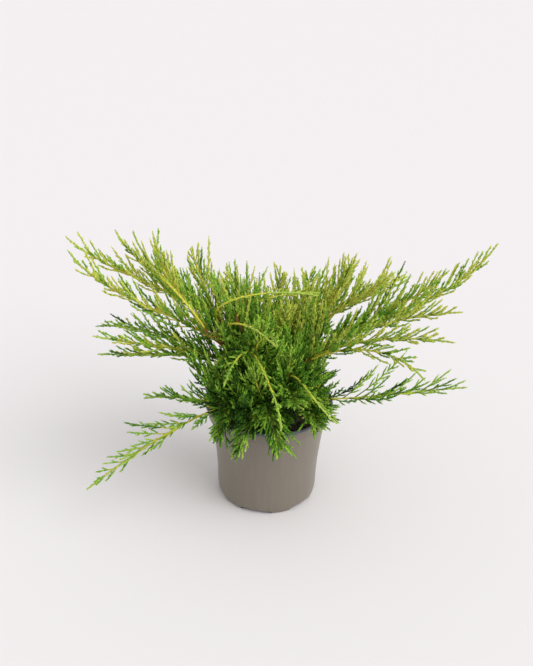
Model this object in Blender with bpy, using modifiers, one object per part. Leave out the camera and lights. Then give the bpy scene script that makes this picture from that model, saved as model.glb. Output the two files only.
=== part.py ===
"""A spreading juniper in its round nursery pot: blender --background --python part.py

A short stem stands in the soil and carries the boughs. Each bough ends where its plumes begin. A plume is
one arching stem with side twigs, and the teeth along both stand for its sprays of scale leaves.
Metres, +Z up, with the origin at the middle of the pot's flat underside.
"""

from collections import namedtuple
from math import cos, radians, sin, tau

import bmesh
import bpy
import numpy as np
from mathutils import Matrix

GAP = 0.0003  # between two bodies that meet

# Pot
RIM_RADIUS = 0.095
POT_HEIGHT = 0.157
FOOT_RADIUS = 0.0715
WALL_RADIUS = 0.075  # of the straight lower wall
WALL_FLARE = 0.010  # how much wider the wall is where it meets the collar
FLARE_FOOT = 0.030  # height at which the flare begins
COLLAR_FOOT = 0.132
COLLAR_RADIUS = 0.090
COLLAR_TAPER = 0.08  # radius gained for each metre of height
WALL = 0.0012
FLOOR = 0.002
POT_SIDES = 36
DRAINS = 12
DRAIN_WIDTH = 0.006
DRAIN_HEIGHT = 0.0035
DRAIN_TURN = 0.1  # share of a step by which the first drain is turned from +X
LIP_HEIGHT = 0.004
LIP_ROUND = 0.001
SHOULDER = 0.002  # height over which the wall steps out to the collar and the collar to the lip
FOOT_ROUND = 0.004
WALL_STEPS = 3

# Growing medium
SOIL_TOP = 0.140
SOIL_CROWN = 0.003  # rise of the middle over the edge

# Trunk and boughs
TRUNK_TOP = 0.216
TRUNK_LEAN = (0.003, 0.004)  # how far the fork stands from over the foot
TRUNK_RADIUS = 0.0062
TRUNK_TAPER = 0.12  # share of the radius lost by the fork
FLARE_RADIUS = 0.0105  # at the flat cut on the soil
FLARE_SHARE = 0.09  # share of the height over which the flare dies away
TRUNK_STATIONS = (0, 0.06, 0.14, 0.3, 0.6, 1)
TRUNK_SIDES = 10
BOUGH_SIDES = 6
BOUGH_STATIONS = 5

# Foliage
SEED = 7
STEM_RADIUS = 0.0017
TWIG_RADIUS = 0.0019
TIP_SHARE = 0.45  # radius left at the last ring of a stem or twig
SEGMENT = 0.022  # length of one straight piece, which carries one pair of teeth
TOOTH = 0.025
TOOTH_TAPER = 0.4  # share of its length a tooth loses from a twig's foot to its tip
TOOTH_SPREAD = 0.2  # a tooth's length varies by this share either way
TOOTH_CLEAR = 0.7 * TWIG_RADIUS  # a tooth's edges keep as clear as rods of this radius
TOOTH_ANGLE = radians(42)
FORK_ANGLE = radians(50)
FIRST_TWIG, LAST_TWIG = 0.06, 0.97  # shares of the stem between which side twigs stand
NARROWING = 0.55  # power by which side twigs shorten towards the plume's tip
LEAST_ROLL, ROLL_RANGE = 35, 62  # degrees from straight up at which side twigs stand, to either side
BELOW_EVERY = 5  # each fifth side twig grows from the underside, and is shorter
BELOW_ROLLS = (130, 230)
BELOW_LENGTH = 0.7
GOLDEN = 0.618
ALONG_SHARE, OUT_SHARE = 0.6, 0.7  # how much of the stem's way and of its own way a twig's tip keeps
CUT_BACK = (1, 0.7, 0.45)  # shares of its length that are tried before a crowded twig is left out
CLEAR = 0.0008  # least clearance between twigs of two plumes
POT_CLEAR = 0.0025  # least clearance from the pot and the soil
ACROSS = np.array([0.3, 0.45, 0.84])  # the first side of each twig faces this way
UP = np.array([0, 0, 1.0])

Bough = namedtuple("Bough", "name carrier along azimuth reach height leave arrive thick thin")
Plume = namedtuple("Plume", "name bough azimuth reach height arrive lift twigs longest tint")

# Angles in degrees: azimuth of the tip about the pot's axis, rise of the limb where it leaves and arrives.
BOUGHS = (
    Bough("bough_right", "trunk", 0.70, 0, 0.066, 0.240, 42, 34, 0.0045, 0.0042),
    Bough("bough_right_back", "trunk", 0.91, 24, 0.052, 0.250, 52, 50, 0.0038, 0.0038),
    Bough("bough_right_front", "trunk", 0.54, -32, 0.050, 0.228, 40, 48, 0.0038, 0.0034),
    Bough("bough_right_low", "trunk", 0.22, -20, 0.044, 0.168, 18, 8, 0.0034, 0.0030),
    Bough("bough_left_front", "trunk", 0.62, 190, 0.062, 0.246, 44, 46, 0.0040, 0.0036),
    Bough("bough_left_back", "trunk", 0.84, 160, 0.060, 0.250, 44, 46, 0.0040, 0.0040),
    Bough("bough_left_mid", "trunk", 0.48, 172, 0.055, 0.205, 28, 24, 0.0038, 0.0040),
    Bough("bough_left_low", "trunk", 0.38, 222, 0.060, 0.176, 16, 10, 0.0036, 0.0034),
    Bough("bough_front", "trunk", 0.82, 244, 0.045, 0.250, 52, 54, 0.0038, 0.0038),
    Bough("bough_front_right", "trunk", 0.36, 296, 0.040, 0.200, 38, 36, 0.0034, 0.0034),
    Bough("bough_skirt", "trunk", 0.20, 262, 0.046, 0.180, 40, 32, 0.0034, 0.0030),
    Bough("bough_top", "trunk", 0.96, 206, 0.050, 0.292, 66, 60, 0.0030, 0.0026),
    Bough("bough_back_left", "trunk", 0.74, 112, 0.048, 0.228, 36, 34, 0.0038, 0.0036),
    Bough("bough_back_right", "trunk", 0.58, 60, 0.048, 0.218, 38, 34, 0.0038, 0.0036),
)
PLUMES = (
    Plume("plume_right_far", "bough_right", 6, 0.313, 0.398, 62, 0.9, 16, 0.086, "lime"),
    Plume("plume_right_near", "bough_right", -7, 0.238, 0.383, 50, 0.9, 13, 0.081, "lime"),
    Plume("plume_right_mid", "bough_right", -16, 0.262, 0.342, 12, 0.7, 14, 0.081, "green"),
    Plume("plume_right_up", "bough_right_back", 22, 0.122, 0.366, 78, 1.0, 12, 0.081, "lime"),
    Plume("plume_right_fan", "bough_right_back", 15, 0.178, 0.345, 50, 1.0, 12, 0.075, "lime"),
    Plume("plume_right_back", "bough_right_back", 33, 0.250, 0.300, 8, 0.7, 14, 0.081, "green"),
    Plume("plume_right_front", "bough_right_front", -29, 0.266, 0.326, 6, 0.6, 14, 0.075, "green"),
    Plume("plume_right_droop", "bough_right_front", -37, 0.246, 0.281, -38, 0.3, 13, 0.063, "lime"),
    Plume("plume_right_low_rise", "bough_right_low", -34, 0.098, 0.236, 58, 0.8, 10, 0.057, "green"),
    Plume("plume_right_skirt", "bough_right_low", -54, 0.122, 0.166, -32, 0.3, 9, 0.052, "green"),
    Plume("plume_right_low", "bough_right_low", -10, 0.282, 0.214, 12, 0.7, 15, 0.075, "deep"),
    Plume("plume_left_top", "bough_left_front", 187, 0.161, 0.417, 84, 0.9, 14, 0.081, "lime"),
    Plume("plume_left_near", "bough_left_front", 195, 0.272, 0.414, 62, 0.9, 16, 0.081, "gold"),
    Plume("plume_left_far", "bough_left_back", 174, 0.290, 0.392, 42, 0.9, 16, 0.081, "gold"),
    Plume("plume_left_up", "bough_left_back", 169, 0.226, 0.400, 64, 0.9, 13, 0.075, "lime"),
    Plume("plume_left_centre", "bough_left_back", 145, 0.144, 0.362, 80, 1.0, 12, 0.075, "lime"),
    Plume("plume_left_back", "bough_left_mid", 156, 0.300, 0.206, -18, 0.4, 14, 0.075, "deep"),
    Plume("plume_left_mid", "bough_left_mid", 196, 0.249, 0.290, 20, 0.5, 14, 0.069, "lime"),
    Plume("plume_left_under", "bough_left_mid", 180, 0.248, 0.224, 0, 0.5, 13, 0.069, "green"),
    Plume("plume_left_low", "bough_left_low", 211, 0.287, 0.094, -28, 0.3, 15, 0.069, "lime"),
    Plume("plume_left_low_rise", "bough_left_low", 205, 0.128, 0.262, 64, 0.9, 11, 0.063, "green"),
    Plume("plume_left_skirt", "bough_left_low", 234, 0.122, 0.142, -58, 0.1, 9, 0.052, "deep"),
    Plume("plume_left_low_up", "bough_left_low", 210, 0.196, 0.212, 4, 0.7, 9, 0.057, "green"),
    Plume("plume_front_droop", "bough_front", 275, 0.181, 0.220, -62, 0.1, 14, 0.057, "gold"),
    Plume("plume_front_arch", "bough_front", 273, 0.150, 0.324, -10, 0.6, 12, 0.063, "lime"),
    Plume("plume_front_up", "bough_front", 262, 0.074, 0.322, 78, 0.9, 11, 0.069, "lime"),
    Plume("plume_front_left", "bough_front", 248, 0.158, 0.262, -50, 0.2, 12, 0.063, "green"),
    Plume("plume_front_right", "bough_front_right", 308, 0.152, 0.195, -25, 0.2, 10, 0.057, "lime"),
    Plume("plume_front_rise", "bough_front_right", 290, 0.082, 0.288, 78, 0.9, 10, 0.063, "green"),
    Plume("plume_front_mid", "bough_front_right", 286, 0.128, 0.218, -20, 0.4, 9, 0.057, "deep"),
    Plume("plume_skirt_left", "bough_skirt", 249, 0.122, 0.124, -72, 0.0, 9, 0.052, "deep"),
    Plume("plume_skirt_rise", "bough_skirt", 256, 0.092, 0.262, 78, 0.9, 10, 0.063, "green"),
    Plume("plume_skirt_right", "bough_skirt", 277, 0.126, 0.138, -70, 0.0, 9, 0.052, "deep"),
    Plume("plume_top_arch", "bough_top", 8, 0.067, 0.326, -8, 0.9, 12, 0.057, "gold"),
    Plume("plume_top_back", "trunk", 82, 0.085, 0.335, 74, 1.0, 12, 0.075, "green"),
    Plume("plume_top_left", "trunk", 128, 0.110, 0.335, 74, 1.0, 12, 0.075, "green"),
    Plume("plume_top_right", "trunk", 20, 0.062, 0.338, 76, 1.0, 10, 0.069, "green"),
    Plume("plume_top_front", "trunk", 300, 0.045, 0.330, 70, 0.9, 10, 0.069, "lime"),
    Plume("plume_back_left", "bough_back_left", 118, 0.215, 0.275, 24, 0.8, 14, 0.081, "green"),
    Plume("plume_back_left_low", "bough_back_left", 132, 0.190, 0.195, -16, 0.4, 12, 0.069, "deep"),
    Plume("plume_back_right", "bough_back_right", 72, 0.215, 0.280, 26, 0.8, 14, 0.081, "green"),
    Plume("plume_back_right_low", "bough_back_right", 52, 0.200, 0.190, -12, 0.4, 12, 0.069, "deep"),
)
TINTS = {
    "gold": (0.48, 0.52, 0.10),
    "lime": (0.30, 0.43, 0.10),
    "green": (0.12, 0.24, 0.05),
    "deep": (0.04, 0.10, 0.02),
}


def clear_scene():
    for obj in list(bpy.data.objects):
        bpy.data.objects.remove(obj, do_unlink=True)


def new_collection(name, hidden=False):
    made = bpy.data.collections.new(name)
    made.hide_render = hidden
    bpy.context.scene.collection.children.link(made)
    return made


def finish(name, colour, roughness):
    made = bpy.data.materials.new(name)
    made.use_nodes = True
    shader = made.node_tree.nodes["Principled BSDF"]
    shader.inputs["Base Color"].default_value = (*colour, 1)
    shader.inputs["Roughness"].default_value = roughness
    return made


def add_object(name, mesh, collection, material=None):
    obj = bpy.data.objects.new(name, mesh)
    collection.objects.link(obj)
    if material:
        mesh.materials.append(material)
    return obj


def polyline(name, points):
    """A mesh of edges only, for the Screw modifier."""
    mesh = bpy.data.meshes.new(name)
    mesh.from_pydata(points, [(i, i + 1) for i in range(len(points) - 1)], [])
    return mesh


def turned(name, outline, collection, material):
    """A solid of revolution about Z from (radius, height) points that start and end on the axis."""
    obj = add_object(name, polyline(name, [(r, 0, z) for r, z in outline]), collection, material)
    screw = obj.modifiers.new("turn", "SCREW")
    screw.steps = POT_SIDES
    screw.render_steps = POT_SIDES
    screw.use_merge_vertices = True
    screw.merge_threshold = 0.0001
    return obj


# ---------------------------------------------------------------- pot and growing medium


def wall_radius(height):
    """Outer radius of the wall: straight at the foot, then flared by a power of the height."""
    rise = max(0.0, (height - FLARE_FOOT) / (COLLAR_FOOT - FLARE_FOOT))
    return WALL_RADIUS + WALL_FLARE * rise**1.5


def collar_radius(height):
    return COLLAR_RADIUS + COLLAR_TAPER * (height - COLLAR_FOOT)


def wall_heights():
    """Where the wall's outline has a point, from the collar down to the foot of the flare."""
    return [COLLAR_FOOT - step * (COLLAR_FOOT - FLARE_FOOT) / WALL_STEPS for step in range(WALL_STEPS + 1)]


def inner_outline(top, inset):
    """The pot's inside from the middle of the floor upwards, moved in by inset, as far as the height top."""
    points = [(0, FLOOR + inset), (FOOT_RADIUS - WALL - inset, FLOOR + inset)]
    points += [(wall_radius(z) - WALL - inset, z) for z in reversed(wall_heights())]
    points += [(collar_radius(z) - WALL - inset, z) for z in (COLLAR_FOOT + SHOULDER + LIP_ROUND, top)]
    return points


def add_pot(collection, cutters, material):
    lip_foot = POT_HEIGHT - LIP_HEIGHT
    outline = inner_outline(lip_foot, 0)
    outline += [
        (RIM_RADIUS - 3 * LIP_ROUND, POT_HEIGHT),
        (RIM_RADIUS - 0.6 * LIP_ROUND, POT_HEIGHT),
        (RIM_RADIUS, POT_HEIGHT - LIP_ROUND),
        (RIM_RADIUS, lip_foot),
        (collar_radius(lip_foot - SHOULDER), lip_foot - SHOULDER),
        (collar_radius(COLLAR_FOOT), COLLAR_FOOT + SHOULDER),
    ]
    outline += [(wall_radius(z), z) for z in wall_heights()]
    outline += [(WALL_RADIUS - 1.5 * LIP_ROUND, FOOT_ROUND), (FOOT_RADIUS, 0), (0, 0)]
    pot = turned("pot", outline, collection, material)
    drains = add_object("drain_cutters", drain_mesh(), cutters)
    drains.display_type = "WIRE"
    drains.hide_render = True
    cut = pot.modifiers.new("drains", "BOOLEAN")
    cut.operation = "DIFFERENCE"
    cut.object = drains


def drain_mesh():
    """Boxes round the foot, each from under the floor to outside the wall."""
    inside, outside = FOOT_RADIUS - 0.008, WALL_RADIUS + 0.004
    bm = bmesh.new()
    for k in range(DRAINS):
        box = bmesh.ops.create_cube(bm, size=1)["verts"]
        bmesh.ops.scale(bm, vec=(outside - inside, DRAIN_WIDTH, 2 * DRAIN_HEIGHT), verts=box)
        bmesh.ops.translate(bm, vec=((inside + outside) / 2, 0, 0), verts=box)
        bmesh.ops.rotate(bm, matrix=Matrix.Rotation(tau * (k + DRAIN_TURN) / DRAINS, 3, "Z"), verts=box)
    return mesh_from(bm, "drain_cutters")


def mesh_from(bm, name):
    mesh = bpy.data.meshes.new(name)
    bm.to_mesh(mesh)
    bm.free()
    return mesh


def add_soil(collection, material):
    outline = inner_outline(SOIL_TOP - SOIL_CROWN, GAP)
    outline += [(0.055, SOIL_TOP - SOIL_CROWN / 2), (FLARE_RADIUS + 0.006, SOIL_TOP), (0, SOIL_TOP)]
    turned("growing_medium", outline[::-1], collection, material)


# ---------------------------------------------------------------- limbs and twigs as lofted tubes


def unit(vector):
    return vector / np.linalg.norm(vector, axis=-1, keepdims=True)


def heading(azimuth, rise):
    a, b = radians(azimuth), radians(rise)
    return np.array([cos(a) * cos(b), sin(a) * cos(b), sin(b)])


def at(azimuth, reach, height):
    return np.array([reach * cos(radians(azimuth)), reach * sin(radians(azimuth)), height])


def arch(start, leave, end, arrive, count):
    """Points on the cubic that leaves start along leave and arrives at end along arrive."""
    t = np.linspace(0, 1, count)[:, None]
    pull = np.linalg.norm(end - start)
    return (
        (2 * t**3 - 3 * t**2 + 1) * start
        + (t**3 - 2 * t**2 + t) * pull * leave
        + (3 * t**2 - 2 * t**3) * end
        + (t**3 - t**2) * pull * arrive
    )


def tangents(path):
    return unit(np.gradient(path, axis=0))


def frames(path, across):
    """Direction of the path at each station, and two directions square to it, the first towards across."""
    along = tangents(path)
    first = unit(across - (along @ across)[:, None] * along)
    return along, first, np.cross(along, first)


def rings(path, radii, sides, across):
    """One ring of points for each station, square to the path."""
    _, first, second = frames(path, across)
    turn = tau * np.arange(sides) / sides
    offsets = first[:, None] * np.cos(turn)[:, None] + second[:, None] * np.sin(turn)[:, None]
    return path[:, None] + radii[:, None, None] * offsets


def seat_ring(ring, point, normal, along):
    """Slides a ring's points along the limb until they lie in the plane through point."""
    return ring + ((point - ring) @ normal / (along @ normal))[:, None] * along


def loft(stations, tip=None):
    """A closed tube through the rings that ends in the point tip or flat, and its rows of side faces."""
    bm = bmesh.new()
    rows = [[bm.verts.new(point) for point in ring] for ring in stations]
    bands = [
        [bm.faces.new((low[i - 1], low[i], high[i], high[i - 1])) for i in range(len(low))]
        for low, high in zip(rows, rows[1:])
    ]
    bm.faces.new(rows[0][::-1])
    if tip is None:
        bm.faces.new(rows[-1])
    else:
        top = bm.verts.new(tip)
        for i in range(len(rows[-1])):
            bm.faces.new((rows[-1][i - 1], rows[-1][i], top))
    return bm, bands


def trunk_line():
    """The stem's middle and radii from its flat cut on the soil to the fork, flared at the root."""
    foot = SOIL_TOP + GAP
    rise = np.array(TRUNK_STATIONS)
    path = np.stack([TRUNK_LEAN[0] * rise, TRUNK_LEAN[1] * rise, foot + rise * (TRUNK_TOP - foot)], axis=1)
    radii = TRUNK_RADIUS * (1 - TRUNK_TAPER * rise)
    return path, radii + (FLARE_RADIUS - TRUNK_RADIUS) * np.exp(-rise / FLARE_SHARE)


def point_on(limb, share):
    """Middle, radius and direction of a limb at a share of its length."""
    path, radii = limb
    steps = np.linalg.norm(np.diff(path, axis=0), axis=1)
    length = np.concatenate([[0], np.cumsum(steps)])
    spot = share * length[-1]
    middle = np.array([np.interp(spot, length, row) for row in path.T])
    along = np.array([np.interp(spot, length, row) for row in tangents(path).T])
    return middle, np.interp(spot, length, radii), along


def bough_line(bough, limbs):
    """The middle and radii of a limb, from its seat on the side of its carrier to its tip."""
    middle, radius, axis = point_on(limbs[bough.carrier], bough.along)
    out = at(bough.azimuth, 1, 0)
    seat = middle + (radius + GAP) * unit(out - (out @ axis) * axis)
    leave = heading(bough.azimuth, bough.leave)
    arrive = heading(bough.azimuth, bough.arrive)
    path = arch(seat, leave, at(bough.azimuth, bough.reach, bough.height), arrive, BOUGH_STATIONS)
    return path, np.linspace(bough.thick, bough.thin, len(path))


def add_limb(name, limb, sides, collection, material):
    """A tapering tube, cut level at the trunk's foot and upright where a bough sits on the trunk's side."""
    path, radii = limb
    stations = rings(path, radii, sides, np.array([1.0, 0, 0]) if name == "trunk" else UP)
    along = tangents(path)[0]
    normal = UP if name == "trunk" else unit(along * np.array([1, 1, 0]))
    stations[0] = seat_ring(stations[0], path[0], normal, along)
    bm, _ = loft(stations)
    add_object(name, mesh_from(bm, name), collection, material)


# ---------------------------------------------------------------- the rule of growth


class Space:
    """The straight pieces of every limb and twig so far, each with its radius and the node it belongs to."""

    def __init__(self):
        self.starts = np.empty((0, 3))
        self.ends = np.empty((0, 3))
        self.radii = np.empty(0)
        self.owners = np.empty(0, int)

    def add(self, owner, starts, ends, radii):
        self.starts = np.concatenate([self.starts, starts])
        self.ends = np.concatenate([self.ends, ends])
        self.radii = np.concatenate([self.radii, radii])
        self.owners = np.concatenate([self.owners, np.full(len(starts), owner)])

    def clear(self, owner, starts, ends, radii):
        """Whether these pieces keep off the pot and off every node but their own."""
        shares = np.linspace(0, 1, 4)[:, None, None]
        if hits_pot((starts + shares * (ends - starts)).reshape(-1, 3)):
            return False
        others = self.owners != owner
        gaps = between(starts, ends, self.starts[others], self.ends[others])
        return bool((gaps > radii[:, None] + self.radii[others] + CLEAR).all())


def between(a0, a1, b0, b1):
    """Least distance of each piece a0-a1 from each piece b0-b1."""
    da, db, gap = (a1 - a0)[:, None], (b1 - b0)[None], a0[:, None] - b0[None]
    aa, bb, ab = (da * da).sum(-1), (db * db).sum(-1), (da * db).sum(-1)
    ag, bg = (da * gap).sum(-1), (db * gap).sum(-1)
    on_a = np.clip((ab * bg - ag * bb) / np.maximum(aa * bb - ab * ab, 1e-18), 0, 1)
    on_b = np.clip((ab * on_a + bg) / bb, 0, 1)
    on_a = np.clip((ab * on_b - ag) / aa, 0, 1)
    return np.linalg.norm(gap + on_a[..., None] * da - on_b[..., None] * db, axis=-1)


def hits_pot(points):
    """Whether a point is in the wall of the pot, in the soil, or within the clearance of either."""
    reach, height = np.hypot(points[:, 0], points[:, 1]), points[:, 2]
    low = height < POT_HEIGHT + POT_CLEAR
    in_wall = low & (reach > WALL_RADIUS) & (reach < RIM_RADIUS + POT_CLEAR)
    in_soil = (height < SOIL_TOP + POT_CLEAR) & (reach < RIM_RADIUS)
    return bool((in_wall | in_soil).any())


def slots(bough, limbs):
    """Where on the bough's tip each of its plumes starts: spread evenly, each on its own tip's side."""
    path, radii = limbs[bough]
    along = tangents(path)[-1]
    side = unit(np.cross(along, [0, 1.0, 0]))
    other = np.cross(side, along)
    mine = [plume for plume in PLUMES if plume.bough == bough]
    ends = [at(plume.azimuth, plume.reach, plume.height) - path[-1] for plume in mine]
    turns = np.array([np.arctan2(end @ other, end @ side) for end in ends])
    order = np.argsort(turns)
    even = tau * np.argsort(order) / len(mine)
    even += np.angle(np.exp(1j * (turns - even)).sum())
    offset = (STEM_RADIUS + GAP) / sin(tau / 2 / len(mine)) if len(mine) > 1 else 0
    out = np.cos(even)[:, None] * side + np.sin(even)[:, None] * other
    starts = path[-1] + along * GAP + offset * out
    return {plume.name: (start, along) for plume, start in zip(mine, starts)}


def stem_of(plume, start, along):
    """The plume's stem: it leaves its bough's tip in line with the bough and arches to its own tip."""
    end = at(plume.azimuth, plume.reach, plume.height)
    count = max(5, 1 + round(1.1 * np.linalg.norm(end - start) / SEGMENT))
    return arch(start, along, end, heading(plume.azimuth, plume.arrive), count)


def twig_of(plume, stem, rank, random):
    """Side twig number rank: it forks off the stem at an angle and lifts towards its tip.

    Twigs stand by turns left and right of the stem, rolled from straight up by a golden-ratio sequence,
    and they shorten to both ends of the plume, more to its tip."""
    share = FIRST_TWIG + (LAST_TWIG - FIRST_TWIG) * (rank + random.uniform(0.2, 0.8)) / plume.twigs
    start, _, along = point_on((stem, np.zeros(len(stem))), share)
    up = unit(UP - along[2] * along)
    side = np.cross(along, up)
    roll = (LEAST_ROLL + ROLL_RANGE * (rank * GOLDEN % 1)) * (1, -1)[rank % 2]
    length = plume.longest * (1 - share) ** NARROWING * min(1, 0.55 + 1.6 * share) * random.uniform(0.8, 1.15)
    if rank % BELOW_EVERY == BELOW_EVERY - 1:
        roll = random.uniform(*BELOW_ROLLS)
        length *= BELOW_LENGTH
    length = max(length, 0.9 * SEGMENT)
    out = cos(radians(roll)) * up + sin(radians(roll)) * side
    leave = unit(cos(FORK_ANGLE) * along + sin(FORK_ANGLE) * out)
    arrive = unit(ALONG_SHARE * along + OUT_SHARE * out + plume.lift * UP)
    count = max(3, 1 + round(length / SEGMENT))
    return arch(start, leave, start + length * unit(leave + arrive), arrive, count)


def teeth_of(path, radii, random, first):
    """Teeth along a twig, as (piece, face, roots, point): two of each piece's three sides, by turns.

    A tooth is the side drawn out to a point, so its roots are the two ends of that side."""
    along, one, two = frames(path, ACROSS)
    found = []
    for piece in range(first, len(path) - 2):
        for face in (piece % 3, (piece + 1) % 3):
            turn = tau * (face - 0.5) / 3
            out = cos(turn) * one[piece] + sin(turn) * two[piece]
            length = TOOTH * (1 - TOOTH_TAPER * piece / len(path))
            length *= random.uniform(1 - TOOTH_SPREAD, 1 + TOOTH_SPREAD)
            roots = path[piece : piece + 2] + out * radii[piece] / 2
            point = roots.mean(axis=0) + length * (cos(TOOTH_ANGLE) * along[piece] + sin(TOOTH_ANGLE) * out)
            found.append((piece, face, roots, point))
    return found


def grow():
    """Boughs, then every plume's stem, then side twigs by turns among the plumes, then teeth."""
    space = Space()
    limbs = {"trunk": trunk_line()}
    for bough in BOUGHS:
        limbs[bough.name] = bough_line(bough, limbs)
    for owner, (path, radii) in enumerate(limbs.values(), 1):
        space.add(-owner, path[:-1], path[1:], radii[:-1])
    plumes = []
    starts = {}
    for bough in limbs:
        starts.update(slots(bough, limbs))
    for index, plume in enumerate(PLUMES):
        path = stem_of(plume, *starts[plume.name])
        radii = STEM_RADIUS * np.linspace(1, TIP_SHARE, len(path))
        space.add(index, path[:-1], path[1:], radii[:-1])
        plumes.append([(path, radii, 2)])
    randoms = [np.random.default_rng([SEED, index]) for index in range(len(PLUMES))]
    for rank in range(max(plume.twigs for plume in PLUMES)):
        for index, plume in enumerate(PLUMES):
            if rank >= plume.twigs:
                continue
            path = twig_of(plume, plumes[index][0][0], rank, randoms[index])
            for share in CUT_BACK:
                kept = path[: max(3, round(share * len(path)))]
                radii = TWIG_RADIUS * np.linspace(1, TIP_SHARE, len(kept))
                radii[0] = TWIG_RADIUS / 2
                if space.clear(index, kept[:-1], kept[1:], radii[:-1]):
                    space.add(index, kept[:-1], kept[1:], radii[:-1])
                    plumes[index].append((kept, radii, 1))
                    break
    teeth = []
    for index, twigs in enumerate(plumes):
        teeth.append([])
        for path, radii, first in twigs:
            wanted = teeth_of(path, radii, randoms[index], first)
            kept = []
            for tooth in wanted:
                edges = tooth[2], np.array([tooth[3]] * 2), np.full(2, TOOTH_CLEAR)
                if space.clear(index, *edges):
                    space.add(index, *edges)
                    kept.append(tooth)
            teeth[index].append(kept)
    return limbs, plumes, teeth


def twig_mesh(name, path, radii, teeth, seat):
    """A three-sided tapered twig that ends in a point, with its teeth drawn out of its sides."""
    stations = rings(path[:-1], radii[:-1], 3, ACROSS)
    stations[0] = seat_ring(stations[0], path[0], seat, tangents(path)[0])
    bm, bands = loft(stations, tip=path[-1])
    for piece, face, _, point in teeth:
        poked = bmesh.ops.poke(bm, faces=[bands[piece][face]])
        poked["verts"][0].co = point
    return mesh_from(bm, name)


def add_plume(name, twigs, teeth, seat, collection, material):
    """Joins a plume's stem, whose first ring is square to seat, and its side twigs into one body."""
    branches = new_collection(name + "_twigs")
    parts = []
    for number, ((path, radii, _), own_teeth) in enumerate(zip(twigs, teeth)):
        root = tangents(path)[0] if number else seat
        mesh = twig_mesh(name, path, radii, own_teeth, root)
        parts.append(add_object(f"{name}_{number}", mesh, branches if number else collection))
    stem = parts[0]
    stem.name = name
    join = stem.modifiers.new("join", "BOOLEAN")
    join.operation = "UNION"
    join.operand_type = "COLLECTION"
    join.collection = branches
    join.solver = "MANIFOLD"
    bpy.context.view_layer.update()
    joined = bpy.data.meshes.new_from_object(stem.evaluated_get(bpy.context.evaluated_depsgraph_get()))
    stem.modifiers.clear()
    stem.data = joined
    joined.name = name
    joined.materials.clear()
    joined.materials.append(material)
    for part in parts[1:]:
        bpy.data.objects.remove(part, do_unlink=True)
    bpy.data.collections.remove(branches)


def main():
    clear_scene()
    plant = new_collection("juniper")
    cutters = new_collection("cutters", hidden=True)
    add_pot(plant, cutters, finish("pot_plastic", (0.22, 0.20, 0.17), 0.35))
    add_soil(plant, finish("peat", (0.03, 0.02, 0.015), 0.9))
    bark = finish("bark", (0.20, 0.11, 0.06), 0.8)
    foliage = {tint: finish("foliage_" + tint, colour, 0.55) for tint, colour in TINTS.items()}
    limbs, plumes, teeth = grow()
    add_limb("trunk", limbs["trunk"], TRUNK_SIDES, plant, bark)
    for bough in BOUGHS:
        add_limb(bough.name, limbs[bough.name], BOUGH_SIDES, plant, bark)
    for plume, twigs, own_teeth in zip(PLUMES, plumes, teeth):
        seat = tangents(limbs[plume.bough][0])[-1]
        add_plume(plume.name, twigs, own_teeth, seat, plant, foliage[plume.tint])


main()
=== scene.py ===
"""A young spreading juniper in its nursery pot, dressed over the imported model.

The sections follow the plant as it is put together: studio, pot, potting mix, bark of the trunk and boughs,
leading stems, side twigs, sprays and scale leaves. Metres, +Z up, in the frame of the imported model.
"""

from collections import namedtuple

import bpy
import numpy as np
from mathutils import Matrix


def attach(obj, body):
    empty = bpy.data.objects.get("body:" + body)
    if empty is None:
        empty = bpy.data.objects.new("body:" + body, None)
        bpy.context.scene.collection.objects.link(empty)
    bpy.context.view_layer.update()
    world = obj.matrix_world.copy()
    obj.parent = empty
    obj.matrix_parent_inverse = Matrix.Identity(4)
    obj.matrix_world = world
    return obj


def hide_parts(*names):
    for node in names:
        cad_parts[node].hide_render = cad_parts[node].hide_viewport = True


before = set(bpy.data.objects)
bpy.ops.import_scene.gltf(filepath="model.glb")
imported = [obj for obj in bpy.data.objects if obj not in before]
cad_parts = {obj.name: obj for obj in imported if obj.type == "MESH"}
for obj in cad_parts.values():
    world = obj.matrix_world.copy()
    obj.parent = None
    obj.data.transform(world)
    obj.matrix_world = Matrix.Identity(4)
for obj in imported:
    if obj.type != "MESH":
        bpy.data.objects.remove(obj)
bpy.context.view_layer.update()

# ---------------------------------------------------------------- studio
# A plain pale floor that runs on out of view, an even pale surround, and one broad soft light from the
# upper right. The camera looks down at the pot from about a metre and a quarter, a little off level.

camera_tilt = np.radians(27.5)
camera_roll = np.radians(-1.54)
camera_distance = 1.281
look_at = np.array([-0.0061, 0, 0.2658])

ahead = np.array([0, np.cos(camera_tilt), -np.sin(camera_tilt)])
above = np.array([0, np.sin(camera_tilt), np.cos(camera_tilt)])
aside = np.array([1.0, 0, 0])
right = np.cos(camera_roll) * aside - np.sin(camera_roll) * above
up = np.sin(camera_roll) * aside + np.cos(camera_roll) * above
pose = np.eye(4)
pose[:3] = np.stack([right, up, -ahead, look_at - camera_distance * ahead], axis=1)
camera = bpy.data.objects.new("camera", bpy.data.cameras.new("camera"))
camera.data.lens = 48.65
camera.data.sensor_width = 36
camera.data.clip_start = 0.02
camera.matrix_world = Matrix(pose.tolist())
bpy.context.scene.collection.objects.link(camera)
bpy.context.scene.camera = camera
bpy.context.scene.view_settings.view_transform = "Standard"


def flat_square(name, half, height):
    """A level square about the origin: its four corners are half to each side."""
    corners = [(-half, -half, height), (half, -half, height), (half, half, height), (-half, half, height)]
    mesh = bpy.data.meshes.new(name)
    mesh.from_pydata(corners, [], [(0, 1, 2, 3)])
    return mesh


floor = bpy.data.objects.new("floor", flat_square("floor", 30, 0))
bpy.context.scene.collection.objects.link(floor)
floor_paint = bpy.data.materials.new("floor_paint")
floor_paint.use_nodes = True
shader = floor_paint.node_tree.nodes["Principled BSDF"]
shader.inputs["Base Color"].default_value = (0.79, 0.77, 0.78, 1)
shader.inputs["Roughness"].default_value = 0.8
floor.data.materials.append(floor_paint)

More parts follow.
